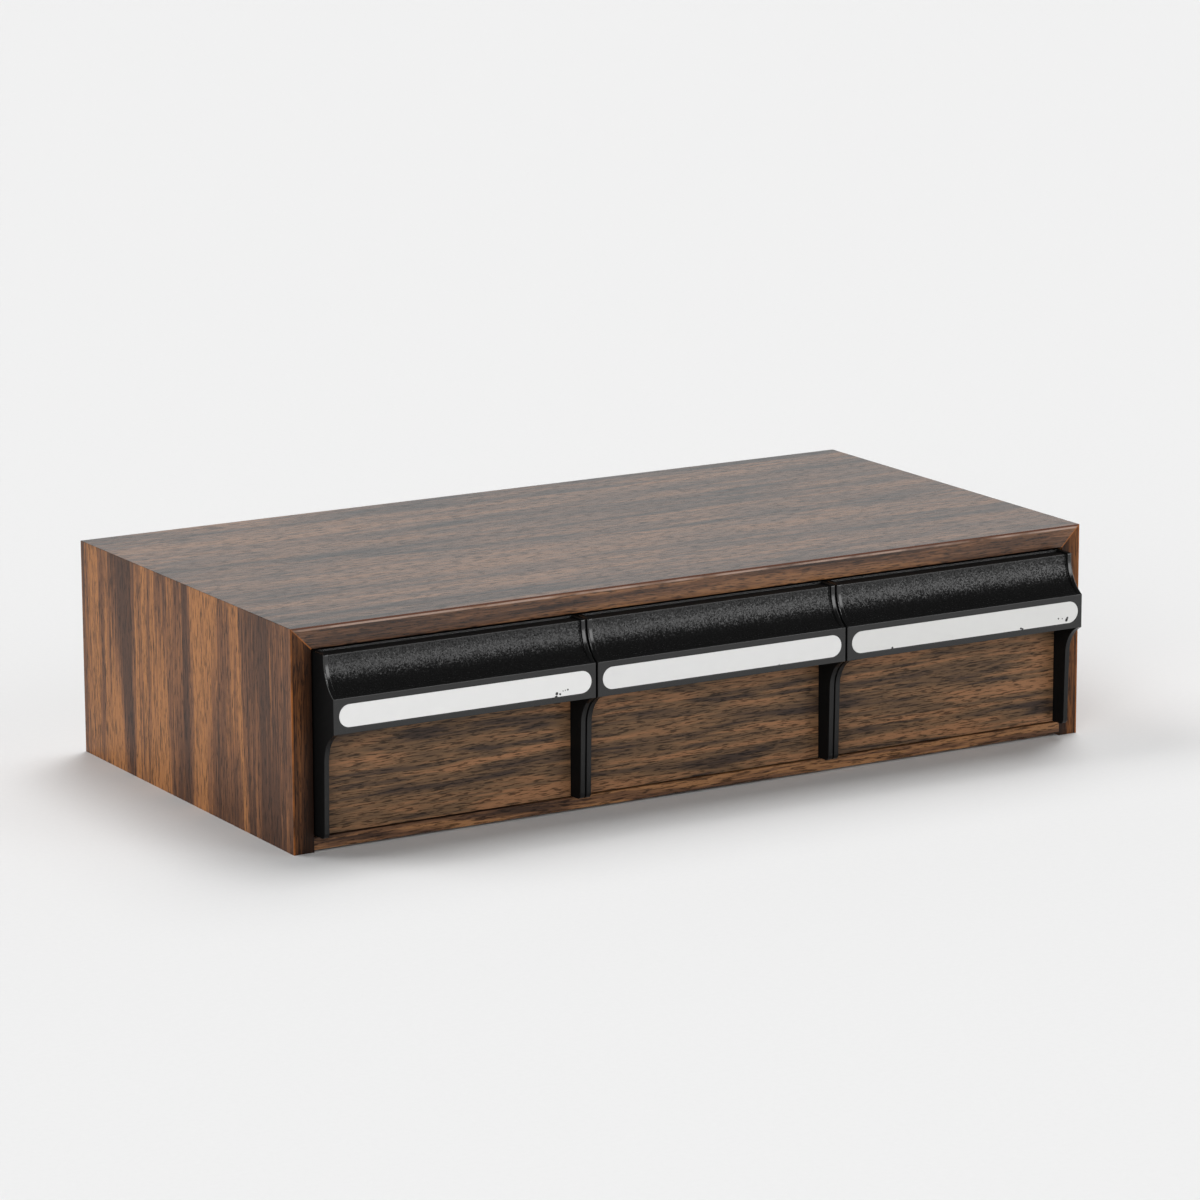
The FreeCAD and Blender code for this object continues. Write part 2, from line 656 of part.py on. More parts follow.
def front_screws(name, x):
    """Four screws from inside the tray, through the plate and into the wood panel."""
    pieces = []
    for i, (across, up) in enumerate(SCREWS, start=1):
        screw = headed(f"{name}_{i}_blank", "screw_thick", "screw_long", "screw_head", "screw_head_tall",
                       FORWARD, f"{x} + {across}", "plate_rear + tray_wall", up)
        cutter = doc.addObject("Part::Box", f"{name}_{i}_cutter")
        cutter.setExpression("Length", bound("screw_head + screw_play"))
        cutter.setExpression("Width", bound("screw_head_tall"))
        cutter.setExpression("Height", bound("screw_slot"))
        place(cutter, f"{x} + {across} - (screw_head + screw_play) / 2",
              "plate_rear + tray_wall + screw_head_tall / 2", f"{up} - screw_slot / 2")
        slotted = doc.addObject("Part::Cut", f"{name}_{i}")
        slotted.Base, slotted.Tool = screw, cutter
        pieces.append(slotted)
    return group(name, pieces)


# ---------------------------------------------------------------------------------------------
# The whole chest
# ---------------------------------------------------------------------------------------------
pieces = [
    top_panel(),
    side_panel("left_side_panel", "-1"),
    side_panel("right_side_panel", "1"),
    bottom_panel(),
    back_panel(),
    partition_panel("left_partition", "-1"),
    partition_panel("right_partition", "1"),
    bottom_dowels(),
    back_pins(),
    drawer_stops(),
]
for which, x in DRAWERS.items():
    drawer = which + "_drawer_"
    pieces += [
        pull_frame(drawer + "pull_frame", x),
        wood_panel(drawer + "wood_panel", x),
        label_strip(drawer + "label_strip", x),
        drawer_tray(drawer + "tray", x),
        slot_comb(drawer + "left_comb", x, "-1"),
        slot_comb(drawer + "right_comb", x, "1"),
        front_screws(drawer + "screws", x),
    ]
doc.removeObject(probe.Name)
doc.recompute()

faulty = [item.Name for item in doc.Objects if "Invalid" in item.State or "Error" in item.State]
if faulty:
    raise RuntimeError(f"these objects failed: {faulty}")
for piece in pieces:
    if piece.Shape.isNull() or not piece.Shape.isValid():
        raise RuntimeError(f"{piece.Label} has no sound shape")

os.makedirs("parts", exist_ok=True)
for piece in pieces:
    piece.Shape.exportStep(f"parts/{piece.Label}.step")
    print(f"{piece.Label}: {len(piece.Shape.Solids)} solid(s), {piece.Shape.Volume / 1000:.1f} cm3")
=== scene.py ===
# %% [markdown]
# # Dressing a cassette storage chest
# The chest is a chipboard cabinet wrapped in walnut-grain vinyl, with three drawers behind black
# moulded pulls. Its solids come from CAD and already have the right shape, down to the ribs and
# the sunk place for each label. So this lesson is mostly about finishes: what each surface is made
# of, how it was made, and how a few nodes can say the same thing. We load the solids first, with a
# helper that reads the box of a piece. Nothing we add may change the size of the chest.

# %% Load the chest
import math

import bpy
from mathutils import Matrix, Vector


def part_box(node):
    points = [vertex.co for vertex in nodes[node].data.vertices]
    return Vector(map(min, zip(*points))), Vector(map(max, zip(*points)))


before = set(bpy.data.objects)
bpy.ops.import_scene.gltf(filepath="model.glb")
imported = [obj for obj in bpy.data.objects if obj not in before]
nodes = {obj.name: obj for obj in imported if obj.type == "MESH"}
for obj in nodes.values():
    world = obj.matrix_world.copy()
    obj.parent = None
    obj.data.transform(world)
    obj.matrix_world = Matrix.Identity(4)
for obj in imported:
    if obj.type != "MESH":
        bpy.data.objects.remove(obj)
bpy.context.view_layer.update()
MM = 0.001
DRAWERS = ("left", "middle", "right")

# %% [markdown]
# ## The camera
# A long lens stands a few metres off to the left and looks slightly down. Long lenses keep the
# edges of furniture nearly parallel. We could aim the camera with a constraint, but building its
# matrix from an azimuth, an elevation and a small roll says exactly where it looks. The Standard
# view transform shows each colour as it is written, with no film-like curve over it.

# %% Camera
LENS, SENSOR = 156.296, 36.0
CAMERA_PLACE = (-1.3906, -2.36835, 0.7072)
AZIMUTH, ELEVATION, ROLL = (math.radians(a) for a in (-30.497, 12.834, -0.2215))
CLIP_NEAR, CLIP_FAR = 0.1, 100


def direction(azimuth, elevation):
    """A unit vector. Azimuth 0 is in front of the chest and 90 degrees is on its right."""
    return Vector((math.sin(azimuth) * math.cos(elevation),
                   -math.cos(azimuth) * math.cos(elevation), math.sin(elevation)))


def aim_camera(place):
    """A camera at a place, looking along an azimuth and an elevation, turned by a small roll."""
    data = bpy.data.cameras.new("camera")
    data.lens, data.sensor_width = LENS, SENSOR
    data.clip_start, data.clip_end = CLIP_NEAR, CLIP_FAR
    back = direction(AZIMUTH, ELEVATION)
    right = Vector((0, 0, 1)).cross(back).normalized()
    up = back.cross(right)
    across = right * math.cos(ROLL) + up * math.sin(ROLL)
    over = up * math.cos(ROLL) - right * math.sin(ROLL)
    camera = bpy.data.objects.new("camera", data)
    bpy.context.scene.collection.objects.link(camera)
    turn = Matrix((across, over, back)).transposed().to_4x4()
    camera.matrix_world = Matrix.Translation(place) @ turn
    bpy.context.scene.camera = camera
    return camera


camera = aim_camera(CAMERA_PLACE)
bpy.context.scene.view_settings.view_transform = "Standard"
print("camera", round(camera.location.length, 2), "m from the middle of the chest's base")

# %% [markdown]
# ## Colours
# Colours are written as sRGB hex, the way a paint chart or an image editor shows them. Shaders
# work in linear light, so one function turns hex into linear.

# %% Colour helper


def linear(code):
    """Linear RGBA from an sRGB hex colour."""
    parts = [int(code[i:i + 2], 16) / 255 for i in (1, 3, 5)]
    return tuple(c / 12.92 if c <= 0.04045 else ((c + 0.055) / 1.055) ** 2.4 for c in parts) + (1,)


print("walnut brown in linear light:", [round(c, 3) for c in linear("#765640")])

# %% [markdown]
# ## Adding nodes
# A finish is easiest to follow as a list of steps. So one small function adds a node of any kind,
# sets what it is given and links what it is given. The setting and linking is a function of its
# own, because the Principled surface is already there when a finish needs to wire it up.

# %% Node helpers


def set_up(tree, node, links=(), **settings):
    """Set and link a node. A setting is an attribute, or an input if the node has no such
    attribute, with _ for a space in its name. Links are (input, socket) pairs; an input is a name
    or a number, and a plain number or tuple can stand for the socket."""
    for name, value in settings.items():
        if hasattr(node, name):
            setattr(node, name, value)
        else:
            node.inputs[name.replace("_", " ")].default_value = value
    for socket, source in links:
        if isinstance(source, (int, float, tuple)):
            node.inputs[socket].default_value = source
        else:
            tree.links.new(source, node.inputs[socket])
    return node


def add(tree, kind, links=(), **settings):
    """Add a node of any kind, set and linked."""
    return set_up(tree, tree.nodes.new("ShaderNode" + kind), links, **settings)


print("made:", set_up.__name__, "and", add.__name__)

# %% [markdown]
# ## Starting and using a material
# Every finish starts from a Principled surface, and from the piece's own coordinates, so that a
# pattern stays on a drawer when the drawer slides. It goes on through the piece's material slots,
# which leaves the meshes alone.

# %% Material helpers


def start_material(name):
    """A material with a Principled surface joined to its output, and its place coordinates."""
    material = bpy.data.materials.new(name)
    material.use_nodes = True
    tree = material.node_tree
    tree.nodes.clear()
    surface = add(tree, "BsdfPrincipled")
    add(tree, "OutputMaterial", [("Surface", surface.outputs[0])])
    return material, tree, surface, add(tree, "TexCoord").outputs["Object"]


def paint(material, *names):
    """Give CAD pieces a finish through their material slots."""
    for name in names:
        slots = nodes[name].data.materials
        slots.clear()
        slots.append(material)


print("finishes go on", len(nodes), "pieces")

# %% [markdown]
# ## Reading places off the solids
# Finishes that change from place to place, such as the pebble in a pull's cove or a worn
# arris, need to know where those places are. The boxes of the pieces give them, so nothing here
# has to be measured twice.

# %% Places in metres
cabinet_low, cabinet_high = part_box("top_panel")
side_low, side_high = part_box("left_side_panel")
pull_low, pull_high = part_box("middle_drawer_pull_frame")
label_low, label_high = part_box("middle_drawer_label_strip")
tray_low, tray_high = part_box("right_drawer_tray")
FRONT, TOP, HALF = cabinet_low.y, cabinet_high.z, cabinet_high.x
PITCH = (tray_low.x + tray_high.x) / 2
LABEL_MIDDLE = (label_low.z + label_high.z) / 2
print("drawer pitch %.1f mm, front face at %.1f mm" % (PITCH / MM, FRONT / MM))
print("side boards %.1f mm thick" % ((side_high.x - side_low.x) / MM))

# %% [markdown]
# ## How far in from the outside
# Wear and dirt gather at edges. An edge of the cabinet is where the distances in from two of its
# outer faces are both small, and those distances are sums on the coordinates. That is simpler than
# painting a mask, and it follows the cabinet if its size changes.

# %% Insets


def insets(tree, place):
    """Distances in from the cabinet's outer side, its front and its top."""
    x, y, z = add(tree, "SeparateXYZ", [(0, place)]).outputs
    beside = add(tree, "Math", [(0, x)], operation="ABSOLUTE").outputs[0]
    return (add(tree, "Math", [(0, HALF), (1, beside)], operation="SUBTRACT").outputs[0],
            add(tree, "Math", [(0, y), (1, FRONT)], operation="SUBTRACT").outputs[0],
            add(tree, "Math", [(0, TOP), (1, z)], operation="SUBTRACT").outputs[0])


print("outer side, front and top at %.1f, %.1f and %.1f mm" % (HALF / MM, FRONT / MM, TOP / MM))

# %% [markdown]
# ## The figure of walnut
# The cabinet looks like walnut, which has three scales of figure: bands one to three centimetres
# wide, ragged flames, and short dark pores like pencil dashes. All run along the grain, so each is
# a noise whose cells are stretched. Their sizes along x, y and z say which way the grain runs:
# upright on the sides, and lengthwise on the top, the bottom and the drawer fronts. A wave texture
# would be quicker, but its lines are too even for walnut.

# %% Stretched noise and three tones
TONE_BELOW, TONE_ABOVE = 0.08, 0.07  # of the noise, from its middle to the dark and light tones


def stretched(tree, place, seed, cell, detail, warp=0.0):
    """Noise whose cells have these sizes in mm along x, y and z."""
    spot = add(tree, "Mapping", [("Vector", place)], Scale=[1 / (size * MM) for size in cell],
               Location=(seed, seed * 1.7, seed * 0.6))
    return add(tree, "TexNoise", [("Vector", spot.outputs[0])], Scale=1.0, Detail=detail,
               Roughness=0.6, Distortion=warp).outputs["Fac"]


def toned(tree, figure, tones, spread):
    """A figure in three tones: dark, middle and light."""
    tone = add(tree, "ValToRGB", [("Fac", figure)])
    ramp = tone.color_ramp.elements
    ramp[0].position, ramp[0].color = 0.5 - TONE_BELOW * spread, linear(tones[0])
    ramp[1].position, ramp[1].color = 0.5 + TONE_ABOVE * spread, linear(tones[2])
    ramp.new(0.5).color = linear(tones[1])
    return tone.outputs[0]


print("tones from %.2f to %.2f of the noise" % (0.5 - TONE_BELOW, 0.5 + TONE_ABOVE))

# %% [markdown]
# ## Walnut-grain vinyl
# The cabinet isn't walnut. It is chipboard wrapped in a printed PVC film. PVC has an IOR of about
# 1.5. The film is embossed with the pores, which trap much of its gloss, so its specular level is
# low. The top has been dusted smooth, so it keeps its gloss and turns grey at a low angle. The
# pores of the real film are about 0.4 mm wide. They are drawn 0.65 mm wide, and 1.3 mm on the top,
# which is seen at a low angle, so that they still show when the whole chest is in view.

# %% Walnut film
FILM_IOR = 1.5
PORE_DARK, PORE_FROM, PORE_TO, PORE_COLOUR = 0.72, 0.52, 0.6, "#000000"
FOLD_DEPTH = 0.4 * MM  # the front face of a wrapped board, where its edge tones show
FILM_ARRIS, EMBOSS_DEPTH = 0.4 * MM, 0.08 * MM
GLOSS_SPREAD = 0.06


def walnut_film(name, tones, seed, bands, flames, pores, share=0.55, spread=1.0,
                specular=0.22, roughness=0.45, edge_tones=None, marks=()):
    """Printed film. Bands, flames and pores are cell sizes in mm along x, y and z, and share is the
    part of the bands in the figure. The tones are dark, middle and light, and a film folded round
    the front can have other tones there. Each mark is a function that gives a (mask, colour) pair,
    and marks go on in their order."""
    material, tree, surface, place = start_material(name)
    wide = stretched(tree, place, seed, bands, 2.0, 0.9)
    ragged = stretched(tree, place, seed, flames, 5.0, 0.8)
    dashes = stretched(tree, place, seed, pores, 2.0)
    figure = add(tree, "Mix", [("Factor", share), (2, ragged), (3, wide)],
                 data_type="FLOAT").outputs[0]
    colour = toned(tree, figure, tones, spread)
    if edge_tones:
        _, front, _ = insets(tree, place)
        folded = add(tree, "Math", [(0, front), (1, FOLD_DEPTH)], operation="LESS_THAN").outputs[0]
        edge = toned(tree, figure, edge_tones, spread)
        colour = add(tree, "Mix", [("Factor", folded), (6, colour), (7, edge)],
                     data_type="RGBA").outputs[2]
    pore = add(tree, "MapRange", [("Value", dashes)], From_Min=PORE_FROM, From_Max=PORE_TO,
               To_Max=PORE_DARK).outputs[0]
    layers = [(pore, PORE_COLOUR)] + [mark(tree, place) for mark in marks]
    for mask, stain in layers:
        colour = add(tree, "Mix", [("Factor", mask), (6, colour), (7, linear(stain))],
                     data_type="RGBA").outputs[2]
    soft = add(tree, "Bevel", samples=6, Radius=FILM_ARRIS)
    emboss = add(tree, "Bump", [("Height", dashes), ("Normal", soft.outputs[0])], Strength=0.4,
                 Distance=EMBOSS_DEPTH, invert=True)
    gloss = add(tree, "MapRange", [("Value", ragged)], To_Min=roughness - GLOSS_SPREAD,
                To_Max=roughness + GLOSS_SPREAD)
    set_up(tree, surface, [("Base Color", colour), ("Roughness", gloss.outputs[0]),
                           ("Normal", emboss.outputs[0])],
           IOR=FILM_IOR, Specular_IOR_Level=specular)
    return material


print("pores reach full darkness at noise %.2f" % PORE_TO)

# %% [markdown]
# ## Where the film is worn
# Hands and sleeves rub a cabinet at its front, where the film is folded round the chipboard. The
# print wears off the folds and shows the orange-brown of the film itself, down the outer arrises
# and at the mitres. A strip of wear is a mask where two insets are both small, and the same mask
# also places painted shade and a painted highlight. Noise breaks it up, because hands rub in some
# places more than in others.

# %% A strip of wear or painted light
RUB_CELL, RUB_RANGE, SOFT_FROM = 25 * MM, 0.2, 0.6


def strip_of_wear_or_painted_light(tree, place, one, other, width, patchy, most):
    """A mask where two insets are both under a width, broken up by noise from patchy upwards. The
    most it reaches can be a number or a socket."""
    deeper = add(tree, "Math", [(0, one), (1, other)], operation="MAXIMUM").outputs[0]
    near = add(tree, "MapRange", [("Value", deeper)], From_Min=width * SOFT_FROM, From_Max=width,
               To_Min=1.0, To_Max=0.0).outputs[0]
    rub = add(tree, "TexNoise", [("Vector", place)], Scale=1 / RUB_CELL, Detail=4.0)
    left = add(tree, "MapRange", [("Value", rub.outputs["Fac"]), ("To Max", most)],
               From_Min=patchy, From_Max=patchy + RUB_RANGE).outputs[0]
    return add(tree, "Math", [(0, near), (1, left)], operation="MULTIPLY").outputs[0]


def apart(tree, one, other):
    """How far two distances are apart."""
    off = add(tree, "Math", [(0, one), (1, other)], operation="SUBTRACT").outputs[0]
    return add(tree, "Math", [(0, off)], operation="ABSOLUTE").outputs[0]


print("wear comes and goes every %.0f mm or so" % (RUB_CELL / MM))

# %% [markdown]
# ## Five marks
# Each mark is a strip of wear, or of painted light, with a colour. The outer arrises and the mitres
# are rubbed to orange-brown. The top front arris has a dark orange crease, and just under it a pale
# line, partly film rubbed thin and partly a painted highlight. The narrow front edges beside the
# pulls get painted shade, darker towards the pulls.

# %% Marks on the folds
# The darkest of these colours is painted shade beside the pulls, and the pale one is partly wear,
# partly a painted highlight.
WORN_ORANGE, PALE_WEAR_AND_HIGHLIGHT, PULL_SHADE, CREASE = "#a5622c", "#b09484", "#22130b", "#5e2f14"


def pull_shade_front(tree, place):
    """Painted shade on the narrow front edges, darker towards the pulls."""
    side, front, _ = insets(tree, place)
    deep = add(tree, "MapRange", [("Value", side)], From_Min=6 * MM, From_Max=10 * MM,
               To_Min=0.0, To_Max=0.8).outputs[0]
    return strip_of_wear_or_painted_light(tree, place, front, front, 0.4 * MM, 0.1, deep), PULL_SHADE


def worn_side(tree, place):
    """Print rubbed off the outer upright arris."""
    side, front, _ = insets(tree, place)
    return strip_of_wear_or_painted_light(tree, place, side, front, 1.0 * MM, 0.3, 0.9), WORN_ORANGE


def worn_mitre(tree, place):
    """The fold of the wrap, which runs in from the top corner at 45 degrees."""
    side, front, top = insets(tree, place)
    away = apart(tree, side, top)
    return strip_of_wear_or_painted_light(tree, place, away, front, 0.55 * MM, 0.25, 0.8), WORN_ORANGE


def top_wear_and_highlight(tree, place):
    """The pale line just under the top front arris: partly film rubbed thin, partly a painted
    highlight.
    """
    _, front, top = insets(tree, place)
    away = apart(tree, top, 1.4 * MM)
    return strip_of_wear_or_painted_light(tree, place, away, front, 0.6 * MM, 0.33, 1.0), PALE_WEAR_AND_HIGHLIGHT


def creased_top(tree, place):
    """The dark orange crease along the top front arris."""
    _, front, top = insets(tree, place)
    return strip_of_wear_or_painted_light(tree, place, front, top, 1.0 * MM, 0.2, 0.95), CREASE


print("marks in", WORN_ORANGE, PALE_WEAR_AND_HIGHLIGHT, PULL_SHADE, CREASE)

# %% [markdown]
# ## Printed knots
# The film shows a few small knots on the top. A knot is a spot with a dark core and a ragged rim.
# Distances are taken in coordinates squashed along the grain, which makes a ball into an oval.

# %% Knots on the top
KNOTS = [(-194, 107, 117), (-165, 124, 117), (184, -72, 117)]  # mm
KNOT_SQUASH = (0.5, 1.0, 1.0)
KNOT_RAG, KNOT_CORE, KNOT_EDGE = 6 * MM, 4.5 * MM, 7 * MM
KNOT_SHARE, KNOT_BROWN = 0.7, "#37302c"


def knotted_top(tree, place):
    """Three small printed knots, longer along the grain than across it."""
    flat = add(tree, "VectorMath", [(0, place), (1, KNOT_SQUASH)],
               operation="MULTIPLY").outputs[0]
    ragged = add(tree, "TexNoise", [("Vector", flat)], Scale=1 / (2.5 * MM), Detail=3.0)
    nearest = None
    for knot in KNOTS:
        spot = tuple(c * MM * squash for c, squash in zip(knot, KNOT_SQUASH))
        away = add(tree, "VectorMath", [(0, flat), (1, spot)],
                   operation="DISTANCE").outputs["Value"]
        nearest = away if nearest is None else add(tree, "Math", [(0, nearest), (1, away)],
                                                   operation="MINIMUM").outputs[0]
    torn = add(tree, "Math", [(0, ragged.outputs["Fac"]), (1, KNOT_RAG), (2, nearest)],
               operation="MULTIPLY_ADD").outputs[0]
    mask = add(tree, "MapRange", [("Value", torn)], From_Min=KNOT_CORE, From_Max=KNOT_EDGE,
               To_Min=KNOT_SHARE, To_Max=0.0)
    return mask.outputs[0], KNOT_BROWN


across = 2 * (KNOT_EDGE - KNOT_RAG / 2)  # the noise is about a half on average
print(len(KNOTS), "knots, each about %.0f mm across the grain" % (across / MM))

# %% [markdown]
# ## Four films from one function
# The same film wraps every board, but the sides, the top, the drawer fronts and the bottom panel
# are cut from different parts of the roll, so each of the four gets a seed of its own. The sides
# have long straight bands and the warmest tones. The top's three tones are greyer, a painted sheen
# of the low light it mirrors on top of its own gloss, and run into each other more softly. The
# drawer fronts and the narrow edge of the bottom panel have a finer figure. Bands and flames have
# the sizes they have on the chest, and only the pores are drawn coarser.

# %% Wrap the boards
# The darker edge tones of the sides are partly darker film at the fold and partly painted shade
# from the pulls beside them.
side_film = walnut_film("walnut_film_upright", ("#523524", "#805436", "#ae7544"), 5.3,
                        bands=(28, 28, 420), flames=(1.8, 1.8, 80), pores=(0.65, 0.65, 7.5),
                        share=0.62, edge_tones=("#271509", "#50301a", "#7e4e28"),
                        marks=(pull_shade_front, worn_side, worn_mitre))
# The grey of these tones is a painted sheen, over the top's own gloss.
top_film = walnut_film("walnut_film_top", ("#42403f", "#6c5a50", "#8a6d5a"), 11.4,
                       bands=(330, 26, 12), flames=(50, 5, 2.2), pores=(8, 1.3, 0.65),
                       share=0.58, spread=1.5, specular=0.5, roughness=0.27,
                       edge_tones=("#35231a", "#714d34", "#a07049"),
                       marks=(knotted_top, creased_top, top_wear_and_highlight, worn_mitre))
front_film = walnut_film("walnut_film_front", ("#42352e", "#725840", "#9a6f4e"), 23.7,
                         bands=(130, 9, 9), flames=(45, 2.2, 2.2), pores=(7.5, 0.65, 0.65),
                         share=0.6, spread=1.3)
base_film = walnut_film("walnut_film_base", ("#46342a", "#76553e", "#a2754f"), 31.9,
                        bands=(130, 9, 9), flames=(45, 2.2, 2.2), pores=(7.5, 0.65, 0.65))
paint(side_film, "left_side_panel", "right_side_panel")
paint(top_film, "top_panel")
paint(base_film, "bottom_panel")
paint(front_film, *[which + "_drawer_wood_panel" for which in DRAWERS])
print("four films, grain upright or lengthwise")

# %% [markdown]
# ## The cove of a pull
# Each front is one moulding of black styrene. Its mould was polished for the beads and
# spark-eroded inside the cove, the long hollow that fingers go into. So the finish has to know
# where the cove is. The three pulls are alike and one drawer pitch apart, and wrapping x at that
# pitch lets one mask serve all three.

# %% Where the cove is
COVE_LOW, COVE_HIGH = pull_high.z - 20.4 * MM, pull_high.z - 1.5 * MM
COVE_HALF = (pull_high.x - pull_low.x) / 2 - 2.8 * MM


def cove_mask(tree, place):
    """Where a surface lies in the cove of any of the three pulls, and its height."""
    x, _, z = add(tree, "SeparateXYZ", [(0, place)]).outputs
    local = add(tree, "Math", [(0, x), (1, PITCH / 2), (2, -PITCH / 2)],
                operation="WRAP").outputs[0]
    off = add(tree, "Math", [(0, local)], operation="ABSOLUTE").outputs[0]
    inside = add(tree, "Math", [(0, off), (1, COVE_HALF)], operation="LESS_THAN").outputs[0]
    above = add(tree, "Math", [(0, z), (1, COVE_LOW)], operation="GREATER_THAN").outputs[0]
    below = add(tree, "Math", [(0, z), (1, COVE_HIGH)], operation="LESS_THAN").outputs[0]
    rows = add(tree, "Math", [(0, above), (1, below)], operation="MULTIPLY").outputs[0]
    return add(tree, "Math", [(0, rows), (1, inside)], operation="MULTIPLY").outputs[0], z


print("cove from %.1f to %.1f mm" % (COVE_LOW / MM, COVE_HIGH / MM))

# %% [markdown]
# ## Dull places on a pull
# The flat top and sides look duller than the beads, the ribs are scuffed, and some pebbles are
# pits that reflect less. Raising the roughness there would only spread the mirrored light into a
# grey veil. So a matte surface with next to no mirror is mixed in, and this function says how
# much. Which way the surface faces tells the flats, and height tells the ribs.

# %% How much is matte
RIB_TOP, RIB_SHARE = LABEL_MIDDLE - 9.2 * MM, 0.45
FLAT_FROM, FLAT_TO = 0.96, 0.99  # how squarely a surface faces sideways or up
PIT_SHARE = 0.8


def matte_share(tree, cove, pebble, z):
    """How much of the matte surface shows: on flat tops and sides, in pits and on the ribs."""
    normal = add(tree, "NewGeometry").outputs["Normal"]
    across, _, upwards = add(tree, "SeparateXYZ", [(0, normal)]).outputs
    sideways = add(tree, "Math", [(0, across)], operation="ABSOLUTE").outputs[0]
    flat = add(tree, "Math", [(0, sideways), (1, upwards)], operation="MAXIMUM").outputs[0]
    dull = add(tree, "MapRange", [("Value", flat)], From_Min=FLAT_FROM, From_Max=FLAT_TO)
    depth = add(tree, "SeparateXYZ", [(0, pebble)]).outputs[0]
    part = add(tree, "Math", [(0, depth), (1, PIT_SHARE)], operation="MULTIPLY").outputs[0]
    pits = add(tree, "Math", [(0, cove), (1, part)], operation="MULTIPLY").outputs[0]
    ribs = add(tree, "MapRange", [("Value", z)], From_Min=RIB_TOP, From_Max=RIB_TOP - MM,
               To_Max=RIB_SHARE)
    share = add(tree, "Math", [(0, dull.outputs[0]), (1, pits)], operation="MAXIMUM").outputs[0]
    return add(tree, "Math", [(0, share), (1, ribs.outputs[0])], operation="MAXIMUM").outputs[0]


print("ribs start at %.1f mm" % (RIB_TOP / MM))

# %% [markdown]
# ## Black styrene
# A spark-eroded mould leaves a fine pebble that sparkles in the upper half of the cove, where it
# mirrors a pale card in the studio. Each pebble is a small facet with its own tilt, made by
# leaning the normal by a random amount for each Voronoi cell. Pebbles of this finish are about
# 0.5 mm. They are drawn at 0.55 mm, so that they still show when the whole chest is in view. The
# IOR lies between ABS at 1.54 and polystyrene at 1.59. The CAD has the large roundings, and a
# bevel node gives the small arrises their thin light line.

# %% Pull plastic
STYRENE_IOR = 1.55
PEBBLE, PEBBLE_TILT = 0.55 * MM, 0.3
PULL_ARRIS, GRIT = 0.5 * MM, 0.5 * MM
GLOSS_BEADS, GLOSS_COVE = 0.18, 0.27
BLACK_LOW, BLACK_HIGH = "#0a0a0a", "#161616"
MATTE_ROUGH, MATTE_SPECULAR = 0.6, 0.05


def moulded_pull(name):
    """Black styrene: polished beads, a pebbled cove, dull flats and ribs."""
    material, tree, surface, place = start_material(name)
    cove, z = cove_mask(tree, place)
    pebble = add(tree, "TexVoronoi", [("Vector", place)], Scale=1 / PEBBLE).outputs["Color"]
    centred = add(tree, "VectorMath", [(0, pebble), (1, (0.5, 0.5, 0.5))],
                  operation="SUBTRACT").outputs[0]
    tilt = add(tree, "Math", [(0, cove), (1, PEBBLE_TILT)], operation="MULTIPLY").outputs[0]
    turned = add(tree, "VectorMath", [(0, centred), ("Scale", tilt)],
                 operation="SCALE").outputs[0]
    soft = add(tree, "Bevel", samples=6, Radius=PULL_ARRIS).outputs[0]
    leaning = add(tree, "VectorMath", [(0, soft), (1, turned)], operation="ADD").outputs[0]
    facet = add(tree, "VectorMath", [(0, leaning)], operation="NORMALIZE").outputs[0]
    grit = add(tree, "TexNoise", [("Vector", place)], Scale=1 / GRIT, Detail=2.0).outputs["Fac"]
    bump = add(tree, "Bump", [("Height", grit), ("Normal", facet)], Strength=0.5,
               Distance=0.05 * MM)
    gloss = add(tree, "MapRange", [("Value", cove)], To_Min=GLOSS_BEADS, To_Max=GLOSS_COVE)
    tint = add(tree, "MapRange", [("Value", grit)], To_Min=linear(BLACK_LOW)[0],
               To_Max=linear(BLACK_HIGH)[0])
    set_up(tree, surface, [("Base Color", tint.outputs[0]), ("Roughness", gloss.outputs[0]),
                           ("Normal", bump.outputs[0])], IOR=STYRENE_IOR)
    matte = add(tree, "BsdfPrincipled", [("Base Color", tint.outputs[0])],
                Roughness=MATTE_ROUGH, Specular_IOR_Level=MATTE_SPECULAR)
    both = add(tree, "MixShader", [("Fac", matte_share(tree, cove, pebble, z)),
                                   (1, surface.outputs[0]), (2, matte.outputs[0])])
    set_up(tree, tree.nodes["Material Output"], [("Surface", both.outputs[0])])
    return material


paint(moulded_pull("black_styrene"), *[which + "_drawer_pull_frame" for which in DRAWERS])
print("pebbles of %.2f mm" % (PEBBLE / MM))

# %% [markdown]
# ## White label foil
# A label strip is a stiff white foil stuck in the sunk place on the band: smooth and a little
# mottled. It stays blank. Years of use have chipped it at a few spots near its rim, where the
# black moulding shows. Each chip is a small ball-shaped mask at a place on the strip, broken up by
# noise so that it looks torn.

# %% Label foil
FOIL_IOR, FOIL_ROUGH = 1.5, 0.42
MOTTLE_TONE = 0.96
MOULDING_BLACK = "#1b1b1c"
CHIP_REACH = 1.5  # the noise is about a half on average, so a chip ends near its own radius


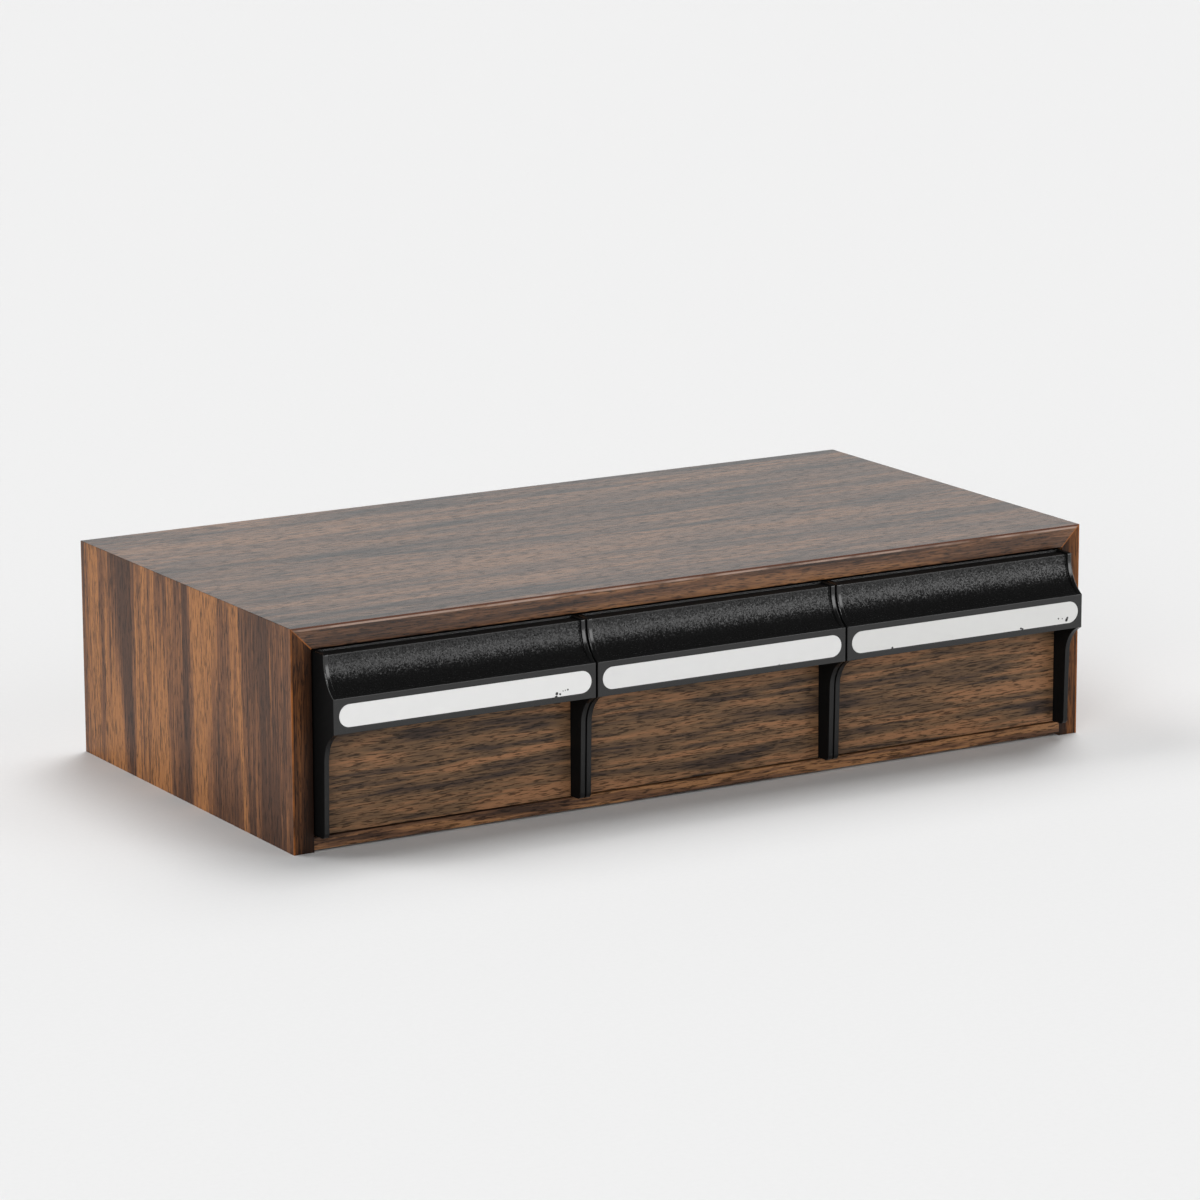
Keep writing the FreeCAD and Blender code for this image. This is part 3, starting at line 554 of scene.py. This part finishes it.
def label_foil(name, middle, tone, chips):
    """Off-white foil with chips where the black moulding shows."""
    material, tree, surface, place = start_material(name)
    ragged = add(tree, "TexNoise", [("Vector", place)], Scale=1 / (0.9 * MM), Detail=3.0)
    mottle = add(tree, "TexNoise", [("Vector", place)], Scale=1 / (9 * MM), Detail=2.0)
    dull = tuple(MOTTLE_TONE * c for c in linear(tone)[:3]) + (1,)
    colour = add(tree, "Mix", [("Factor", mottle.outputs["Fac"]), (6, dull), (7, linear(tone))],
                 data_type="RGBA").outputs[2]
    for x, z, radius in chips:
        spot = (middle + x * MM, label_low.y, LABEL_MIDDLE + z * MM)
        away = add(tree, "VectorMath", [(0, place), (1, spot)],
                   operation="DISTANCE").outputs["Value"]
        torn = add(tree, "Math", [(0, ragged.outputs["Fac"]), (1, radius * MM), (2, away)],
                   operation="MULTIPLY_ADD").outputs[0]
        bare = add(tree, "Math", [(0, torn), (1, CHIP_REACH * radius * MM)],
                   operation="LESS_THAN").outputs[0]
        colour = add(tree, "Mix", [("Factor", bare), (6, colour), (7, linear(MOULDING_BLACK))],
                     data_type="RGBA").outputs[2]
    set_up(tree, surface, [("Base Color", colour)], Roughness=FOIL_ROUGH, IOR=FOIL_IOR)
    return material


print("foil roughness", FOIL_ROUGH)

# %% [markdown]
# ## Three strips
# The three strips aren't quite the same white, so each has a tone of its own, and its own chips. A
# table of places is easier to check against the real strips than noise that happens to fit.

# %% Label strips
# The tone of each strip, and its chips: across and up from the strip's middle, and radius, in mm.
STRIPS = {
    "left": (-PITCH, "#f5f5f4", [
        (52.4, -4.1, 0.8), (54.3, -4.6, 0.6), (52.0, -5.9, 0.8),
        (56.0, -3.2, 0.3), (57.4, -3.0, 0.3), (58.8, -2.8, 0.5)]),
    "middle": (0.0, "#efefee", [(34.2, -5.9, 0.4)]),
    "right": (PITCH, "#e7e7e5", [
        (-74.0, -0.8, 0.7), (-47.4, -5.7, 0.7), (35.5, -5.1, 0.6), (36.6, -5.7, 0.6),
        (65.4, -4.0, 0.9), (66.0, -3.0, 0.6), (62.7, -3.0, 0.3), (60.1, -2.7, 0.5)]),
}
for which, (middle, tone, chips) in STRIPS.items():
    paint(label_foil("white_foil_" + which, middle, tone, chips), which + "_drawer_label_strip")
print("chips on the strips:", {which: len(strip[2]) for which, strip in STRIPS.items()})

# %% [markdown]
# ## Trays and combs
# Pull a drawer and plainer materials show. The trays and their combs are thin mouldings of black
# polystyrene. Molten plastic cools as it runs through a thin mould, which leaves faint flow marks
# a few centimetres long, and its skin is duller than that of the polished pulls. One slow noise
# gives both the marks and the changes in gloss. The IOR is kept the same as the pulls'.

# %% Tray plastic


def tray_plastic(name):
    """Black polystyrene with the faint flow marks of a thin moulding."""
    material, tree, surface, place = start_material(name)
    flow = add(tree, "TexNoise", [("Vector", place)], Scale=1 / (22 * MM), Detail=3.0,
               Distortion=0.8).outputs["Fac"]
    tone = add(tree, "Mix", [("Factor", flow), (6, linear("#17181a")), (7, linear("#222326"))],
               data_type="RGBA")
    gloss = add(tree, "MapRange", [("Value", flow)], To_Min=0.38, To_Max=0.5)
    fine = add(tree, "TexNoise", [("Vector", place)], Scale=1 / (0.6 * MM), Detail=2.0)
    bump = add(tree, "Bump", [("Height", fine.outputs["Fac"])], Strength=0.3,
               Distance=0.04 * MM)
    set_up(tree, surface, [("Base Color", tone.outputs[2]), ("Roughness", gloss.outputs[0]),
                           ("Normal", bump.outputs[0])], IOR=STYRENE_IOR)
    return material


TRAY_PIECES = ("tray", "left_comb", "right_comb")
paint(tray_plastic("black_polystyrene"),
      *[f"{which}_drawer_{piece}" for which in DRAWERS for piece in TRAY_PIECES])
print(len(DRAWERS) * len(TRAY_PIECES), "pieces of tray plastic")

# %% [markdown]
# ## Hardboard
# The back and the partitions are hardboard: wood fibres a millimetre or two long, pressed hot
# into a smooth brown sheet. To the eye it is a fine matted speckle with soft clouds in it, so a
# fine noise makes the fibres and a coarse one the clouds.

# %% Pressed hardboard


def pressed_hardboard(name):
    """Brown hardboard: fine fibres with soft clouds."""
    material, tree, surface, place = start_material(name)
    fibre = add(tree, "TexNoise", [("Vector", place)], Scale=1 / (1.6 * MM), Detail=5.0,
                Distortion=1.5).outputs["Fac"]
    cloud = add(tree, "TexNoise", [("Vector", place)], Scale=1 / (35 * MM), Detail=2.0)
    blend = add(tree, "Math", [(0, cloud.outputs["Fac"]), (1, 0.5), (2, fibre)],
                operation="MULTIPLY_ADD").outputs[0]
    tone = add(tree, "ValToRGB", [("Fac", blend)])
    dark, light = tone.color_ramp.elements
    dark.position, dark.color = 0.45, linear("#5b3d28")
    light.position, light.color = 1.0, linear("#8a6446")
    bump = add(tree, "Bump", [("Height", fibre)], Strength=0.35, Distance=0.08 * MM)
    set_up(tree, surface, [("Base Color", tone.outputs[0]), ("Normal", bump.outputs[0])],
           Roughness=0.62)
    return material


paint(pressed_hardboard("hardboard"), "back_panel", "left_partition", "right_partition")
print("hardboard on the back and two partitions")

# %% [markdown]
# ## Zinc plate
# Panel pins and screws are steel with a thin coat of zinc. They are plated in a tumbling barrel,
# which leaves fine scratches and an uneven gloss. Zinc is a metal, so its colour is in its
# reflection and the metallic input is 1.

# %% Plated zinc


def plated_zinc(name):
    """Bright zinc on steel: pale grey metal with fine tumbling scratches."""
    material, tree, surface, place = start_material(name)
    scuff = add(tree, "TexNoise", [("Vector", place)], Scale=1 / (0.5 * MM),
                Detail=3.0).outputs["Fac"]
    tone = add(tree, "Mix", [("Factor", scuff), (6, linear("#9c9c98")), (7, linear("#c4c4c0"))],
               data_type="RGBA")
    gloss = add(tree, "MapRange", [("Value", scuff)], To_Min=0.25, To_Max=0.45)
    set_up(tree, surface, [("Base Color", tone.outputs[2]), ("Roughness", gloss.outputs[0])],
           Metallic=1.0)
    return material


paint(plated_zinc("plated_zinc"), "back_pins", *[which + "_drawer_screws" for which in DRAWERS])
print("zinc on the pins and the screws")

# %% [markdown]
# ## Beech
# Dowels and stop blocks are beech, which is pale and close-grained, with short brown flecks where
# its rays are cut. Streaks about 30 mm long make the grain, and cells of 3 by 0.5 mm the flecks.

# %% Planed beech


def planed_beech(name):
    """Pale beech with the short brown flecks that mark it."""
    material, tree, surface, place = start_material(name)

    def grain(length, width, detail):
        """Noise in cells of a length and a width in mm, along x."""
        spot = add(tree, "Mapping", [("Vector", place)],
                   Scale=(1 / (length * MM), 1 / (width * MM), 1 / (width * MM)))
        return add(tree, "TexNoise", [("Vector", spot.outputs[0])], Scale=1.0,
                   Detail=detail).outputs["Fac"]

    base = add(tree, "Mix", [("Factor", grain(30, 1.2, 3.0)), (6, linear("#b98d62")),
                             (7, linear("#d3ab7e"))], data_type="RGBA")
    mark = add(tree, "MapRange", [("Value", grain(3, 0.5, 1.0))], From_Min=0.6, From_Max=0.68,
               To_Max=0.5)
    tone = add(tree, "Mix", [("Factor", mark.outputs[0]), (6, base.outputs[2]),
                             (7, linear("#8a5f3c"))], data_type="RGBA")
    set_up(tree, surface, [("Base Color", tone.outputs[2])], Roughness=0.6)
    return material


paint(planed_beech("beech"), "bottom_dowels", "drawer_stops")
print("materials:", len(bpy.data.materials))

# %% [markdown]
# ## The floor
# The chest stands on a pale sheet of paper that runs out of sight. A very large square does the
# same, and matte paper mirrors nothing.

# %% Paper floor
FLOOR_HALF = 30.0


def studio_floor():
    """A large square of matte pale paper."""
    mesh = bpy.data.meshes.new("floor")
    corners = [(-FLOOR_HALF, -FLOOR_HALF, 0), (FLOOR_HALF, -FLOOR_HALF, 0),
               (FLOOR_HALF, FLOOR_HALF, 0), (-FLOOR_HALF, FLOOR_HALF, 0)]
    mesh.from_pydata(corners, [], [(0, 1, 2, 3)])
    floor = bpy.data.objects.new("floor", mesh)
    bpy.context.scene.collection.objects.link(floor)
    material, tree, surface, place = start_material("pale_paper")
    tooth = add(tree, "TexNoise", [("Vector", place)], Scale=1 / (3 * MM), Detail=2.0)
    tone = add(tree, "Mix", [("Factor", tooth.outputs["Fac"]), (6, linear("#e3e3e3")),
                             (7, linear("#e6e6e6"))], data_type="RGBA")
    set_up(tree, surface, [("Base Color", tone.outputs[2])], Roughness=1.0,
           Specular_IOR_Level=0.0)
    mesh.materials.append(material)
    return floor


studio_floor()
print("paper floor %.0f m across" % (2 * FLOOR_HALF))

# %% [markdown]
# ## Walls and ceiling
# The surroundings are a world with two levels: pale up to about 20 degrees, and dark overhead, so
# that black plastic that faces up looks black. A real studio gets this with white walls and a
# black ceiling. An image of a room would do it too, but a two-step ramp is easier to set.

# %% Surround
WALL_LEVEL, CEILING_LEVEL = 0.6, 0.04
WALL_TOP, CEILING_FROM = 0.34, 0.6  # heights on a sky of radius 1


def surround():
    """World light: pale near the horizon and dark overhead."""
    world = bpy.data.worlds.new("surround")
    bpy.context.scene.world = world
    world.use_nodes = True
    tree = world.node_tree
    tree.nodes.clear()
    sky = add(tree, "TexCoord").outputs["Generated"]
    height = add(tree, "SeparateXYZ", [(0, sky)]).outputs[2]
    tone = add(tree, "ValToRGB", [("Fac", height)])
    wall, ceiling = tone.color_ramp.elements
    wall.position, wall.color = WALL_TOP, (WALL_LEVEL,) * 3 + (1,)
    ceiling.position, ceiling.color = CEILING_FROM, (CEILING_LEVEL,) * 3 + (1,)
    light = add(tree, "Background", [("Color", tone.outputs[0])], Strength=1.0)
    add(tree, "OutputWorld", [("Surface", light.outputs[0])])
    return world


surround()
print("walls at %.2f, ceiling at %.2f" % (WALL_LEVEL, CEILING_LEVEL))

# %% [markdown]
# ## Soft boxes
# Five large soft boxes light the chest: two high at the back right, one at the back left, a low one
# at the front left and a weak one at the front right. Their light comes as sun lamps with a wide
# angle, which light a large floor evenly and still give soft shadows.

# %% Soft boxes
SOFT_ANGLE = 30  # degrees across each soft box
# Name, azimuth and elevation in degrees, and strength.
SOFT_BOXES = [("high_right", 120, 70, 1.42), ("back_right", 135, 48, 0.67),
              ("back_left", -135, 48, 0.92), ("front_left", -45, 22, 0.93),
              ("front_right", 40, 26, 0.36)]


def soft_box(name, azimuth, elevation, strength):
    """A wide sun lamp whose light comes from an azimuth and an elevation, in degrees. Nothing
    mirrors it."""
    data = bpy.data.lights.new(name, "SUN")
    data.energy, data.angle = strength, math.radians(SOFT_ANGLE)
    lamp = bpy.data.objects.new(name, data)
    lamp.visible_glossy = False
    bpy.context.scene.collection.objects.link(lamp)
    towards = direction(math.radians(azimuth), math.radians(elevation))
    lamp.rotation_mode = "QUATERNION"
    lamp.rotation_quaternion = towards.to_track_quat("Z", "Y")
    return lamp


for box in SOFT_BOXES:
    soft_box(*box)
print(len(SOFT_BOXES), "soft boxes")

# %% [markdown]
# ## Cards for the pulls
# Black plastic shows its shape by what it mirrors, so it gets cards of its own. They are lamps that
# are seen in gloss only, and light linking keeps them to the pulls. The soft boxes could do both
# jobs, but then the top of the cabinet would glare from some sides. The front card draws the broad
# highlight in the cove, and the others draw thin lines on the beads.

# %% Gloss cards
CARDS = [("front_card", 32, 15, 0.75), ("corner_card", -45, 22, 1.11),
         ("left_card", -110, 10, 0.3), ("right_card", 95, 10, 0.4)]


def gloss_card(name, azimuth, elevation, strength, mirrors):
    """A soft box that the pieces of one collection mirror and that lights nothing."""
    card = soft_box(name, azimuth, elevation, strength)
    card.visible_glossy, card.visible_diffuse = True, False
    card.light_linking.receiver_collection = mirrors
    return card


pulls = bpy.data.collections.new("pulls")
for which in DRAWERS:
    pulls.objects.link(nodes[which + "_drawer_pull_frame"])
for card in CARDS:
    gloss_card(*card, pulls)
